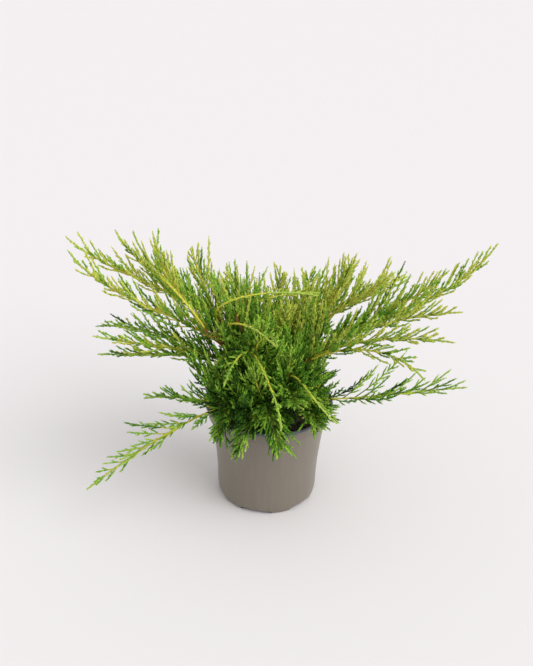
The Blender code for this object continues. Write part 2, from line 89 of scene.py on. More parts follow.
surround = bpy.data.worlds.new("surround")
surround.use_nodes = True
surround.node_tree.nodes["Background"].inputs["Color"].default_value = (0.93, 0.91, 0.91, 1)
surround.node_tree.nodes["Background"].inputs["Strength"].default_value = 0.85
bpy.context.scene.world = surround

softbox = bpy.data.objects.new("softbox", bpy.data.lights.new("softbox", "SUN"))
softbox.data.energy = 1.8
softbox.data.angle = np.radians(55)
softbox.rotation_euler = np.radians([24, 46, 0])
bpy.context.scene.collection.objects.link(softbox)

# ---------------------------------------------------------------- pot
# Pressed from a sheet about a millimetre thick, taupe outside and blue-black inside. It has a stacking
# collar, a turned-down rim, and drain slots round a foot that stands on low feet.

sheet = 0.0011
wall_radius = 0.075
wall_flare = 0.010
flare_foot = 0.030
collar_foot = 0.132
drains = 12
drain_turn = 0.1
drain_height = 0.0048
steps_a_drain = 32
drain_half_steps = 3
base_radius = 0.0655
foot_arch = 0.0042
foot_fade = 0.005


def wall_at(height):
    """Outer radius of the wall: straight at the foot, then flared by a power of the height."""
    rise = np.clip((height - flare_foot) / (collar_foot - flare_foot), 0, 1)
    return wall_radius + wall_flare * rise**1.5


def rounded(line, times):
    """The line with its corners cut: each pass leaves two points on each side, a quarter in from its ends."""
    for _ in range(times):
        low, high = line[:-1], line[1:]
        cut = np.stack([0.75 * low + 0.25 * high, 0.25 * low + 0.75 * high], axis=1)
        line = np.concatenate([line[:1], cut.reshape(-1, line.shape[1]), line[-1:]])
    return line


def carried_round(line, turns):
    """Points (radius cos turn, radius sin turn, height) for each turn and each (radius, height) of a line."""
    radius, height = line[None, :, 0], line[None, :, 1]
    turn = turns[:, None]
    return np.stack([radius * np.cos(turn), radius * np.sin(turn), height + 0 * turn], axis=-1)


def round_quads(turns, count):
    """Corner numbers of the quads of a grid of turns by count points, closed round the axis."""
    column, row = np.meshgrid(np.arange(turns), np.arange(count - 1), indexing="ij")
    here = column * count + row
    beside = (column + 1) % turns * count + row
    return np.stack([here, beside, beside + 1, here + 1], axis=-1)


def mesh_of(name, points, faces, smooth=True):
    """A mesh of the points and of faces that all have the same number of corners."""
    corners = faces.shape[1]
    mesh = bpy.data.meshes.new(name)
    mesh.vertices.add(len(points))
    mesh.vertices.foreach_set("co", np.ascontiguousarray(points, dtype=np.float32).ravel())
    mesh.loops.add(faces.size)
    mesh.loops.foreach_set("vertex_index", np.ascontiguousarray(faces, dtype=np.int32).ravel())
    mesh.polygons.add(len(faces))
    mesh.polygons.foreach_set("loop_start", np.arange(0, faces.size, corners, dtype=np.int32))
    mesh.polygons.foreach_set("use_smooth", np.full(len(faces), smooth))
    mesh.update(calc_edges=True)
    mesh.validate()
    return mesh


def placed(name, mesh, slot, nodes, *materials):
    """An object at the origin that rides on the plant's one body and stands for the given nodes."""
    piece = bpy.data.objects.new(name, mesh)
    bpy.context.scene.collection.objects.link(piece)
    for material in materials:
        mesh.materials.append(material)
    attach(piece, "root")
    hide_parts(*nodes)
    return piece


def plastic(name, colour, roughness, streak):
    """Pressed plastic: a plain colour with faint upright draw marks in its gloss and a fine skin."""
    made = bpy.data.materials.new(name)
    made.use_nodes = True
    nodes, links = made.node_tree.nodes, made.node_tree.links
    skin = nodes["Principled BSDF"]
    place = nodes.new("ShaderNodeTexCoord")
    stretch = nodes.new("ShaderNodeMapping")
    stretch.inputs["Scale"].default_value = (1, 1, 0.06)
    marks = nodes.new("ShaderNodeTexNoise")
    marks.inputs["Scale"].default_value = 160
    marks.inputs["Detail"].default_value = 3
    gloss = nodes.new("ShaderNodeMapRange")
    gloss.inputs["To Min"].default_value = roughness - streak
    gloss.inputs["To Max"].default_value = roughness + streak
    grain = nodes.new("ShaderNodeTexNoise")
    grain.inputs["Scale"].default_value = 1400
    bump = nodes.new("ShaderNodeBump")
    bump.inputs["Strength"].default_value = 0.06
    bump.inputs["Distance"].default_value = 0.0002
    shade = nodes.new("ShaderNodeMix")
    shade.data_type = "RGBA"
    shade.inputs["A"].default_value = (*(0.88 * np.array(colour)), 1)
    shade.inputs["B"].default_value = (*(1.08 * np.array(colour)), 1)
    links.new(place.outputs["Object"], stretch.inputs["Vector"])
    links.new(stretch.outputs["Vector"], marks.inputs["Vector"])
    links.new(marks.outputs["Fac"], gloss.inputs["Value"])
    links.new(gloss.outputs["Result"], skin.inputs["Roughness"])
    links.new(marks.outputs["Fac"], shade.inputs["Factor"])
    links.new(shade.outputs["Result"], skin.inputs["Base Color"])
    links.new(place.outputs["Object"], grain.inputs["Vector"])
    links.new(grain.outputs["Fac"], bump.inputs["Height"])
    links.new(bump.outputs["Normal"], skin.inputs["Normal"])
    return made


wall_heights = np.linspace(0.022, 0.1295, 7)
outer_line = np.array(
    [
        (0, 0.0032),
        (0.030, 0.0032),
        (0.0600, 0.0032),
        (0.0640, 0.0030),
        (0.0662, 0.0012),
        (0.0674, 0),
        (0.0698, 0),
        (0.0716, 0.0008),
        (0.0730, 0.0034),
        (0.0742, 0.0090),
        (0.0749, 0.0150),
        *zip(wall_at(wall_heights), wall_heights),
        (0.0856, 0.1316),
        (0.0882, 0.1332),
        (0.0898, 0.1346),
        (0.0901, 0.1372),
        (0.0905, 0.1420),
        (0.0909, 0.1480),
        (0.0912, 0.1518),
        (0.0916, 0.1544),
        (0.0924, 0.1556),
        (0.0933, 0.1556),
        (0.0938, 0.1546),
        (0.0937, 0.1532),
        (0.0930, 0.1526),
    ]
)
outer_line = rounded(outer_line, 2)
turns = np.arange(drains * steps_a_drain) * 2 * np.pi / (drains * steps_a_drain)
turns += 2 * np.pi * (drain_turn / drains - 0.5 / (drains * steps_a_drain))
skin_points = carried_round(outer_line, turns)

# Between every other pair of drains the foot arches up off the ground. The slots are left out of the faces.
foot_wave = np.clip(np.sin(drains / 2 * turns), 0, 1) ** 0.35
near_foot = np.exp(-((skin_points[..., 2] / foot_fade) ** 2)) * (outer_line[:, 0] > base_radius)
skin_points[..., 2] += foot_arch * foot_wave[:, None] * near_foot
skin_quads = round_quads(len(turns), len(outer_line))
step = np.arange(len(turns)) % steps_a_drain
in_slot = (step <= drain_half_steps) | (step >= steps_a_drain - drain_half_steps)
at_foot = (outer_line[:-1, 0] > base_radius) & (outer_line[1:, 1] < drain_height)
kept = ~(in_slot[:, None] & at_foot[None, :])
pot = placed(
    "pot_shell",
    mesh_of("pot_shell", skin_points.reshape(-1, 3), skin_quads[kept]),
    "pot_plastic",
    ["pot"],
    plastic("taupe_plastic", (0.190, 0.164, 0.130), 0.36, 0.05),
    plastic("lining_plastic", (0.075, 0.088, 0.110), 0.30, 0.04),
)
wall = pot.modifiers.new("sheet", "SOLIDIFY")
wall.thickness = sheet
wall.offset = -1
wall.material_offset = 1
wall.material_offset_rim = 1

# ---------------------------------------------------------------- potting mix
# Dark moist peat, filled in by hand to a little under the pot's rim. Its top is clodded, and crumbs of peat
# and flat shreds of bark lie loose on it.

mix_top = 0.1385
mix_radius = 0.0884
mix_turns = 180
crumbs_within = 0.0875


def lumps(points, size, seed):
    """Smooth noise between 0 and 1: random heights at the corners of cubes of a size, blended across them."""
    table = np.random.default_rng(seed).random(4096)
    cell = np.floor(points / size).astype(np.int64)
    inside = points / size - cell
    inside = inside * inside * (3 - 2 * inside)
    total = np.zeros(points.shape[:-1])
    for corner in np.ndindex(2, 2, 2):
        key = (cell + corner) @ np.array([73856093, 19349663, 83492791])
        weight = np.prod(np.where(corner, inside, 1 - inside), axis=-1)
        total += weight * table[key % 4096]
    return total


def peat_top(across):
    """Height of the mix at (x, y): it falls by the square of the reach, with three sizes of clod on it."""
    flat = np.concatenate([across, np.zeros_like(across[..., :1])], axis=-1)
    clods = 0.0030 * lumps(flat, 0.011, 1) + 0.0020 * lumps(flat, 0.0048, 2) + 0.0010 * lumps(flat, 0.002, 3)
    return mix_top - 0.0020 + clods - 0.0020 * (np.hypot(across[..., 0], across[..., 1]) / mix_radius) ** 2


mix_line = [(0, mix_top)]
mix_line += [(radius, mix_top) for radius in np.linspace(0.001, mix_radius, 60)]
mix_line += [(wall_at(0.130) - 0.0020, 0.131), (wall_at(0.080) - 0.0020, 0.080)]
mix_line += [(0.0728, 0.030), (0.0690, 0.006), (0, 0.006)]
mix_line = np.array(mix_line)[::-1]
mix_points = carried_round(mix_line, np.arange(mix_turns) * 2 * np.pi / mix_turns)
surface = mix_line[:, 1] == mix_top
mix_points[:, surface, 2] = peat_top(mix_points[:, surface, :2])


def crumbly(name, dark, light, size, roughness):
    """Peat or bark: two shades mixed by a noise of the given scale, with the same noise as relief."""
    made = bpy.data.materials.new(name)
    made.use_nodes = True
    nodes, links = made.node_tree.nodes, made.node_tree.links
    skin = nodes["Principled BSDF"]
    skin.inputs["Roughness"].default_value = roughness
    place = nodes.new("ShaderNodeTexCoord")
    noise = nodes.new("ShaderNodeTexNoise")
    noise.inputs["Scale"].default_value = 1 / size
    noise.inputs["Detail"].default_value = 6
    shade = nodes.new("ShaderNodeMix")
    shade.data_type = "RGBA"
    shade.inputs["A"].default_value = (*dark, 1)
    shade.inputs["B"].default_value = (*light, 1)
    bump = nodes.new("ShaderNodeBump")
    bump.inputs["Strength"].default_value = 0.5
    bump.inputs["Distance"].default_value = size / 4
    links.new(place.outputs["Object"], noise.inputs["Vector"])
    links.new(noise.outputs["Fac"], shade.inputs["Factor"])
    links.new(shade.outputs["Result"], skin.inputs["Base Color"])
    links.new(noise.outputs["Fac"], bump.inputs["Height"])
    links.new(bump.outputs["Normal"], skin.inputs["Normal"])
    return made


placed(
    "potting_mix",
    mesh_of("potting_mix", mix_points.reshape(-1, 3), round_quads(mix_turns, len(mix_line)).reshape(-1, 4)),
    "peat",
    ["growing_medium"],
    crumbly("moist_peat", (0.007, 0.005, 0.004), (0.032, 0.021, 0.014), 0.003, 0.9),
)


def chips(count, least, most, flatness, seed):
    """Broken lumps on the mix: a twelve-cornered ball, each corner pulled in or out at random, then
    stretched, flattened, turned and set down at a random place on the peat."""
    random = np.random.default_rng(seed)
    golden_ratio = (1 + 5**0.5) / 2
    ball = np.array([(0, a, b * golden_ratio) for a in (-1, 1) for b in (-1, 1)])
    ball = np.concatenate([np.roll(ball, k, axis=1) for k in range(3)]) / np.hypot(1, golden_ratio)
    apart = np.linalg.norm(ball[:, None] - ball[None], axis=-1)
    near = (apart > 0.01) & (apart < 1.2)
    triples = [(a, b, c) for a, b, c in np.ndindex(12, 12, 12) if a < b < c]
    faces = np.array([(a, b, c) for a, b, c in triples if near[a, b] and near[b, c] and near[a, c]])
    first, second, third = ball[faces].transpose(1, 0, 2)
    inward = (np.cross(second - first, third - first) * first).sum(1) < 0
    faces[inward] = faces[inward][:, ::-1]
    size = random.uniform(least, most, count)
    shape = ball * random.uniform(0.7, 1.15, (count, 12, 1))
    spread = np.stack([np.ones(count), random.uniform(0.35, 0.9, count), np.full(count, flatness)], axis=1)
    shape = shape * (spread * size[:, None] / 2)[:, None]
    turn, tip = random.uniform(0, 2 * np.pi, (2, count))
    tip = 0.35 * np.sin(tip)
    x = np.cos(tip)[:, None] * shape[..., 0] - np.sin(tip)[:, None] * shape[..., 2]
    z = np.sin(tip)[:, None] * shape[..., 0] + np.cos(tip)[:, None] * shape[..., 2]
    y = shape[..., 1]
    reach = (crumbs_within - most / 2) * np.sqrt(random.uniform(0.012, 1, count))
    bearing = random.uniform(0, 2 * np.pi, count)
    spot = np.stack([reach * np.cos(bearing), reach * np.sin(bearing)], axis=1)
    lie = peat_top(spot) + 0.15 * flatness * size
    points = np.stack(
        [
            np.cos(turn)[:, None] * x - np.sin(turn)[:, None] * y + spot[:, :1],
            np.sin(turn)[:, None] * x + np.cos(turn)[:, None] * y + spot[:, 1:],
            z + lie[:, None],
        ],
        axis=-1,
    )
    return points.reshape(-1, 3), (faces[None] + 12 * np.arange(count)[:, None, None]).reshape(-1, 3)


placed(
    "peat_crumbs",
    mesh_of("peat_crumbs", *chips(2400, 0.0012, 0.0042, 0.6, 11), smooth=False),
    "peat",
    ["growing_medium"],
    crumbly("peat_crumb", (0.008, 0.005, 0.004), (0.045, 0.029, 0.018), 0.0016, 0.95),
)
placed(
    "bark_chips",
    mesh_of("bark_chips", *chips(420, 0.004, 0.011, 0.22, 12), smooth=False),
    "peat",
    ["growing_medium"],
    crumbly("bark_chip", (0.020, 0.011, 0.007), (0.10, 0.055, 0.032), 0.0022, 0.85),
)

# ---------------------------------------------------------------- trunk and boughs
# A short stem flared at its foot and fourteen boughs, in thin red-brown bark that peels in narrow strips
# along the limb. Each bough grows out of the trunk and thins to the stems that it carries.

soil_top = 0.140
trunk_top = 0.216
trunk_lean = np.array([0.003, 0.004])
trunk_radius = 0.0062
trunk_taper = 0.12
flare_radius = 0.0105
flare_share = 0.09
gap = 0.0003
trunk_sides = 36
bough_sides = 20

# A bough: the share of the trunk where it grows, where its end is, the rise in degrees with which it leaves
# and arrives, and its radius at both ends.
Bough = namedtuple("Bough", "name along azimuth reach height leave arrive thick thin")
boughs = (
    Bough("bough_right", 0.70, 0, 0.066, 0.240, 42, 34, 0.0045, 0.0042),
    Bough("bough_right_back", 0.91, 24, 0.052, 0.250, 52, 50, 0.0038, 0.0038),
    Bough("bough_right_front", 0.54, -32, 0.050, 0.228, 40, 48, 0.0038, 0.0034),
    Bough("bough_right_low", 0.22, -20, 0.044, 0.168, 18, 8, 0.0034, 0.0030),
    Bough("bough_left_front", 0.62, 190, 0.062, 0.246, 44, 46, 0.0040, 0.0036),
    Bough("bough_left_back", 0.84, 160, 0.060, 0.250, 44, 46, 0.0040, 0.0040),
    Bough("bough_left_mid", 0.48, 172, 0.055, 0.205, 28, 24, 0.0038, 0.0040),
    Bough("bough_left_low", 0.38, 222, 0.060, 0.176, 16, 10, 0.0036, 0.0034),
    Bough("bough_front", 0.82, 244, 0.045, 0.250, 52, 54, 0.0038, 0.0038),
    Bough("bough_front_right", 0.36, 296, 0.040, 0.200, 38, 36, 0.0034, 0.0034),
    Bough("bough_skirt", 0.20, 262, 0.046, 0.180, 40, 32, 0.0034, 0.0030),
    Bough("bough_top", 0.96, 206, 0.050, 0.292, 66, 60, 0.0030, 0.0026),
    Bough("bough_back_left", 0.74, 112, 0.048, 0.228, 36, 34, 0.0038, 0.0036),
    Bough("bough_back_right", 0.58, 60, 0.048, 0.218, 38, 34, 0.0038, 0.0036),
)


def unit(vector):
    """The vectors divided by their lengths."""
    return vector / np.linalg.norm(vector, axis=-1, keepdims=True)


def heading(azimuth, rise):
    """Direction with the given azimuth about +Z and rise above level, both in degrees."""
    a, b = np.radians(azimuth), np.radians(rise)
    return np.stack([np.cos(a) * np.cos(b), np.sin(a) * np.cos(b), np.sin(b)], axis=-1)


def at(azimuth, reach, height):
    """Point at the given azimuth in degrees, reach from the pot's axis and height."""
    a = np.radians(azimuth)
    return np.stack([reach * np.cos(a), reach * np.sin(a), height], axis=-1)


def arches(start, leave, end, arrive):
    """Cubics as (start, start slope, end, end slope): each leaves along leave and arrives along arrive, with
    slopes as long as the chord."""
    pull = np.linalg.norm(end - start, axis=-1, keepdims=True)
    return np.stack([start, pull * leave, end, pull * arrive], axis=-2)


def along(cubics, t):
    """Points of the cubics at t: the four Hermite blends of start, start slope, end and end slope."""
    t = np.asarray(t)[..., None]
    blends = (2 * t**3 - 3 * t**2 + 1, t**3 - 2 * t**2 + t, 3 * t**2 - 2 * t**3, t**3 - t**2)
    return sum(blend * cubics[..., None, k, :] for k, blend in enumerate(blends))


def course(cubics, t):
    """Directions of the cubics at t, from the slopes of the same blends."""
    t = np.asarray(t)[..., None]
    slopes = (6 * t**2 - 6 * t, 3 * t**2 - 4 * t + 1, 6 * t - 6 * t**2, 3 * t**2 - 2 * t)
    return unit(sum(slope * cubics[..., None, k, :] for k, slope in enumerate(slopes)))


def sleeves(path, direction, radii, sides):
    """Closed tubes round many paths at once. path and direction are (limbs, stations, 3), and radii is
    (limbs, stations) or (limbs, stations, sides): each station has a ring of points square to its direction,
    the last one is drawn to a point, and the first is closed flat."""
    limbs, stations = path.shape[:2]
    across = unit(np.cross(direction.mean(1), [0.31, 0.22, 0.92]))[:, None]
    first = unit(across - (across * direction).sum(-1, keepdims=True) * direction)
    second = np.cross(direction, first)
    turn = 2 * np.pi * np.arange(sides) / sides
    spoke = first[:, :, None] * np.cos(turn)[:, None] + second[:, :, None] * np.sin(turn)[:, None]
    if radii.ndim == 2:
        radii = radii[..., None]
    ring = path[:, :, None] + radii[..., None] * spoke
    points = np.concatenate([ring[:, :-1].reshape(limbs, -1, 3), path[:, -1:]], axis=1)
    row, side = np.meshgrid(np.arange(stations - 2), np.arange(sides), indexing="ij")
    low, low_next = row * sides + side, row * sides + (side + 1) % sides
    quads = np.stack([low, low_next, low_next + sides, low, low_next + sides, low + sides], -1).reshape(-1, 3)
    side = np.arange(sides)
    last = (stations - 2) * sides
    tip = np.stack([last + side, last + (side + 1) % sides, np.full(sides, (stations - 1) * sides)], -1)
    foot = np.stack([np.zeros(sides - 2, int), side[2:], side[1:-1]], -1)
    faces = np.concatenate([quads, tip, foot])
    each = points.shape[1]
    return points.reshape(-1, 3), (faces[None] + each * np.arange(limbs)[:, None, None]).reshape(-1, 3)


def bark_relief(path, radii, sides, strip):
    """Radii of a limb's skin: narrow ridges that run along it, from a noise that is stretched lengthwise."""
    turn = 2 * np.pi * np.arange(sides) / sides
    run = np.cumsum(np.linalg.norm(np.diff(path, axis=1, prepend=path[:, :1]), axis=-1), axis=1)
    wide = radii[..., None]
    limb = np.arange(len(path))[:, None, None]
    places = [wide * np.cos(turn), wide * np.sin(turn) + 0.05 * limb, run[..., None] / 9 + 0 * turn]
    places = np.stack(np.broadcast_arrays(*places), axis=-1)
    ridges = np.abs(2 * lumps(places, strip, 21) - 1)
    knots = lumps(places * [1, 1, 5], 3 * strip, 22)
    return wide * (0.94 + 0.16 * (1 - ridges) ** 2 + 0.14 * (knots - 0.5))


# The trunk: its radius flares by a falling exponential at the foot and is rounded off over its top.
t = np.linspace(0, 1, 90)[None]
foot = soil_top - 0.004
trunk_path = np.stack([trunk_lean[0] * t, trunk_lean[1] * t, foot + t * (trunk_top + 0.002 - foot)], axis=-1)
trunk_way = unit(np.gradient(trunk_path, axis=1))
flared = (flare_radius - trunk_radius) * np.exp(-np.clip(t - 0.05, 0, 1) / flare_share)
trunk_radii = trunk_radius * (1 - trunk_taper * t) + flared
trunk_radii = trunk_radii * np.where(t > 0.95, np.sqrt(np.clip(1 - ((t - 0.95) / 0.05) ** 2, 0, 1)), 1)
trunk_relief = bark_relief(trunk_path, trunk_radii, trunk_sides, 0.0011)
trunk_skin = sleeves(trunk_path, trunk_way, trunk_relief, trunk_sides)

# Each bough starts inside the trunk's bark, on the side that it leaves by, and is rounded off at its end.
bough_names = [bough.name for bough in boughs]
rise = np.array([bough.along for bough in boughs])
azimuth, reach, height, leave, arrive, thick, thin = np.array([bough[2:] for bough in boughs]).T
axis = unit(np.array([*trunk_lean, trunk_top - soil_top]))
up_trunk = soil_top + gap + rise * (trunk_top - soil_top - gap)
middle = np.stack([trunk_lean[0] * rise, trunk_lean[1] * rise, up_trunk], axis=-1)
flared = (flare_radius - trunk_radius) * np.exp(-rise / flare_share)
trunk_here = trunk_radius * (1 - trunk_taper * rise) + flared
out = at(azimuth, 1, 0 * azimuth)
out = unit(out - (out @ axis)[:, None] * axis)
seats = middle + (trunk_here + gap)[:, None] * out
bough_arches = arches(seats, heading(azimuth, leave), at(azimuth, reach, height), heading(azimuth, arrive))
t = np.linspace(0, 1, 64)
bough_path = along(bough_arches, t)
bough_way = course(bough_arches, t)
rooted = (seats - 0.6 * trunk_here[:, None] * heading(azimuth, leave))[:, None]
bough_path = np.concatenate([rooted, bough_path], axis=1)
bough_way = np.concatenate([bough_way[:, :1], bough_way], axis=1)
t = np.concatenate([[0], t])
bough_radii = thick[:, None] + (0.62 * thin - thick)[:, None] * t + 0.25 * thick[:, None] * np.exp(-t / 0.05)
bough_radii *= np.sqrt(np.clip(1 - (np.clip(t - 0.93, 0, 1) / 0.07) ** 2, 0, 1))
bough_relief = bark_relief(bough_path, bough_radii, bough_sides, 0.0009)
bough_skin = sleeves(bough_path, bough_way, bough_relief, bough_sides)


def peeling_bark(name, dark, light, strip):
    """Bark: red-brown and grey-tan mixed by ridged noise, rough, with fine relief."""
    made = crumbly(name, dark, light, strip, 0.8)
    noise = made.node_tree.nodes["Noise Texture"]
    noise.inputs["Distortion"].default_value = 1.2
    noise.inputs["Roughness"].default_value = 0.65
    return made


bark = peeling_bark("peeling_bark", (0.14, 0.055, 0.026), (0.40, 0.185, 0.080), 0.0018)
placed("trunk_bark", mesh_of("trunk_bark", *trunk_skin), "bark", ["trunk"], bark)
placed("bough_bark", mesh_of("bough_bark", *bough_skin), "bark", bough_names, bark)

# ---------------------------------------------------------------- leading stems
# Each plume has one springy stem that arches from its bough's end to its own tip. Its bark is rust-brown at
# the bough, golden further out, and green at the tip where scale leaves still cover it. Five loose
# leaders fork off the stems and arch over the fans.

# A plume: its bough, where its tip is, the rise in degrees there, how far its twigs lift, their number and
# greatest length, and its tint.
Plume = namedtuple("Plume", "name bough azimuth reach height arrive lift twigs longest tint")
plumes = (
    Plume("plume_right_far", "bough_right", 6, 0.313, 0.398, 62, 0.9, 16, 0.086, "lime"),
    Plume("plume_right_near", "bough_right", -7, 0.238, 0.383, 50, 0.9, 13, 0.081, "lime"),
    Plume("plume_right_mid", "bough_right", -16, 0.262, 0.342, 12, 0.7, 14, 0.081, "green"),
    Plume("plume_right_up", "bough_right_back", 22, 0.122, 0.366, 78, 1.0, 12, 0.081, "lime"),
    Plume("plume_right_fan", "bough_right_back", 15, 0.178, 0.345, 50, 1.0, 12, 0.075, "lime"),
    Plume("plume_right_back", "bough_right_back", 33, 0.250, 0.300, 8, 0.7, 14, 0.081, "green"),
    Plume("plume_right_front", "bough_right_front", -29, 0.266, 0.326, 6, 0.6, 14, 0.075, "green"),
    Plume("plume_right_droop", "bough_right_front", -37, 0.246, 0.281, -38, 0.3, 13, 0.063, "lime"),
    Plume("plume_right_low_rise", "bough_right_low", -34, 0.098, 0.236, 58, 0.8, 10, 0.057, "green"),
    Plume("plume_right_skirt", "bough_right_low", -54, 0.122, 0.166, -32, 0.3, 9, 0.052, "green"),
    Plume("plume_right_low", "bough_right_low", -10, 0.282, 0.214, 12, 0.7, 15, 0.075, "green"),
    Plume("plume_left_top", "bough_left_front", 187, 0.161, 0.417, 84, 0.9, 14, 0.081, "lime"),
    Plume("plume_left_near", "bough_left_front", 195, 0.272, 0.414, 62, 0.9, 16, 0.081, "gold"),
    Plume("plume_left_far", "bough_left_back", 174, 0.290, 0.392, 42, 0.9, 16, 0.081, "gold"),
    Plume("plume_left_up", "bough_left_back", 169, 0.226, 0.400, 64, 0.9, 13, 0.075, "lime"),
    Plume("plume_left_centre", "bough_left_back", 145, 0.144, 0.362, 80, 1.0, 12, 0.075, "lime"),
    Plume("plume_left_back", "bough_left_mid", 156, 0.300, 0.206, -18, 0.4, 14, 0.075, "deep"),
    Plume("plume_left_mid", "bough_left_mid", 196, 0.249, 0.290, 20, 0.5, 14, 0.069, "lime"),
    Plume("plume_left_under", "bough_left_mid", 180, 0.248, 0.224, 0, 0.5, 13, 0.069, "green"),
    Plume("plume_left_low", "bough_left_low", 211, 0.287, 0.094, -28, 0.3, 15, 0.069, "lime"),
    Plume("plume_left_low_rise", "bough_left_low", 205, 0.128, 0.262, 64, 0.9, 11, 0.063, "green"),
    Plume("plume_left_skirt", "bough_left_low", 234, 0.122, 0.142, -58, 0.1, 9, 0.052, "deep"),
    Plume("plume_left_low_up", "bough_left_low", 210, 0.196, 0.212, 4, 0.7, 9, 0.057, "green"),
    Plume("plume_front_droop", "bough_front", 275, 0.181, 0.220, -62, 0.1, 14, 0.057, "gold"),
    Plume("plume_front_arch", "bough_front", 273, 0.150, 0.324, -10, 0.6, 12, 0.063, "lime"),
    Plume("plume_front_up", "bough_front", 262, 0.074, 0.322, 78, 0.9, 11, 0.069, "lime"),
    Plume("plume_front_left", "bough_front", 248, 0.158, 0.262, -50, 0.2, 12, 0.063, "green"),
    Plume("plume_front_right", "bough_front_right", 308, 0.152, 0.195, -25, 0.2, 10, 0.057, "lime"),
    Plume("plume_front_rise", "bough_front_right", 290, 0.082, 0.288, 78, 0.9, 10, 0.063, "green"),
    Plume("plume_front_mid", "bough_front_right", 286, 0.128, 0.218, -20, 0.4, 9, 0.057, "deep"),
    Plume("plume_skirt_left", "bough_skirt", 249, 0.122, 0.124, -72, 0.0, 9, 0.052, "deep"),
    Plume("plume_skirt_rise", "bough_skirt", 256, 0.092, 0.262, 78, 0.9, 10, 0.063, "green"),
    Plume("plume_skirt_right", "bough_skirt", 277, 0.126, 0.138, -70, 0.0, 9, 0.052, "deep"),
    Plume("plume_top_arch", "bough_top", 8, 0.067, 0.326, -8, 0.9, 12, 0.057, "gold"),
    Plume("plume_top_back", "trunk", 82, 0.085, 0.335, 74, 1.0, 12, 0.075, "green"),
    Plume("plume_top_left", "trunk", 128, 0.110, 0.335, 74, 1.0, 12, 0.075, "green"),
    Plume("plume_top_right", "trunk", 20, 0.062, 0.338, 76, 1.0, 10, 0.069, "green"),
    Plume("plume_top_front", "trunk", 300, 0.045, 0.330, 70, 0.9, 10, 0.069, "lime"),
    Plume("plume_back_left", "bough_back_left", 118, 0.215, 0.275, 24, 0.8, 14, 0.081, "green"),
    Plume("plume_back_left_low", "bough_back_left", 132, 0.190, 0.195, -16, 0.4, 12, 0.069, "deep"),
    Plume("plume_back_right", "bough_back_right", 72, 0.215, 0.280, 26, 0.8, 14, 0.081, "green"),
    Plume("plume_back_right_low", "bough_back_right", 52, 0.200, 0.190, -12, 0.4, 12, 0.069, "deep"),
)
stem_radius = 0.0017
plant_seed = 7


def bundle(bough):
    """Start and direction of the stems on a bough's end: even about it, each on the side its tip lies."""
    mine = [plume for plume in plumes if plume.bough == bough]
    if bough == "trunk":
        end, way = np.array([*trunk_lean, trunk_top]), axis
    else:
        cubic = bough_arches[bough_names.index(bough)]
        end, way = cubic[2], unit(cubic[3])
    side = unit(np.cross(way, [0, 1.0, 0]))
    other = np.cross(side, way)
    tips = np.array([at(plume.azimuth, plume.reach, plume.height) for plume in mine]) - end
    turns = np.arctan2(tips @ other, tips @ side)
    even = 2 * np.pi * np.argsort(np.argsort(turns)) / len(mine)
    even += np.angle(np.exp(1j * (turns - even)).sum())
    offset = (stem_radius + gap) / np.sin(np.pi / len(mine)) if len(mine) > 1 else 0
    starts = end + offset * (np.cos(even)[:, None] * side + np.sin(even)[:, None] * other)
    return {plume.name: (start, way) for plume, start in zip(mine, starts)}


roots = {}
for bough in ["trunk", *bough_names]:
    roots.update(bundle(bough))
starts = np.array([roots[plume.name][0] for plume in plumes])
ways = np.array([roots[plume.name][1] for plume in plumes])
azimuth, reach, height, arrive = np.array([plume[2:6] for plume in plumes]).T
stems = arches(starts, ways, at(azimuth, reach, height), heading(azimuth, arrive))


def stretch_of(cubics, low, high, count):
    """Points and directions at even shares of the cubics between two of them, and the shares."""
    t = np.linspace(low, high, count)
    return along(cubics, t), course(cubics, t), t


def young_wood(name, colour):
    """Thin living bark: nearly plain, flecked a quarter darker every few millimetres."""
    dark = tuple(0.75 * np.array(colour))
    made = crumbly(name, dark, colour, 0.004, 0.55)
    made.node_tree.nodes["Principled BSDF"].inputs["Specular IOR Level"].default_value = 0.25
    made.node_tree.nodes["Bump"].inputs["Strength"].default_value = 0.2
    return made


# A leader forks off a stem at a share of its length, and has its own start slope, end and end slope.
Leader = namedtuple("Leader", "plume share leave end arrive")
leaders = (
    Leader(
        "plume_left_near", 0.13, (-0.010, -0.268, 0.229), (-0.1956, 0.030, 0.3752), (-0.141, 0.201, 0.018)
    ),
    Leader(
        "plume_left_centre", 0.12, (-0.141, -0.264, 0.228), (0.0635, -0.012, 0.3316), (0.213, 0.093, -0.089)
    ),
    Leader(
        "plume_left_centre", 0.02, (-0.066, -0.171, 0.117), (0.0066, -0.120, 0.3084), (0.138, -0.126, -0.095)
    ),
    Leader(
        "plume_left_up", 0.42, (-0.088, 0.037, 0.067), (-0.1976, 0.050, 0.3957), (-0.026, -0.005, 0.115)
    ),
    Leader(
        "plume_front_rise", 0.30, (0.041, -0.115, 0.125), (0.0911, -0.134, 0.2027), (0.112, -0.003, -0.095)
    ),
)
carrier = np.array([[plume.name for plume in plumes].index(leader.plume) for leader in leaders])
leave, end, arrive = (np.array([leader[column] for leader in leaders]) for column in (2, 3, 4))
root = along(stems[carrier], np.array([[leader.share] for leader in leaders]))[:, 0]
leader_arches = np.stack([root, leave, end, arrive], axis=1)
leading = np.concatenate([stems, leader_arches])
bearer = np.concatenate([np.arange(len(plumes)), carrier])
bright = np.array([plumes[index].tint != "deep" for index in bearer])
any_stem = np.full(len(bearer), True)
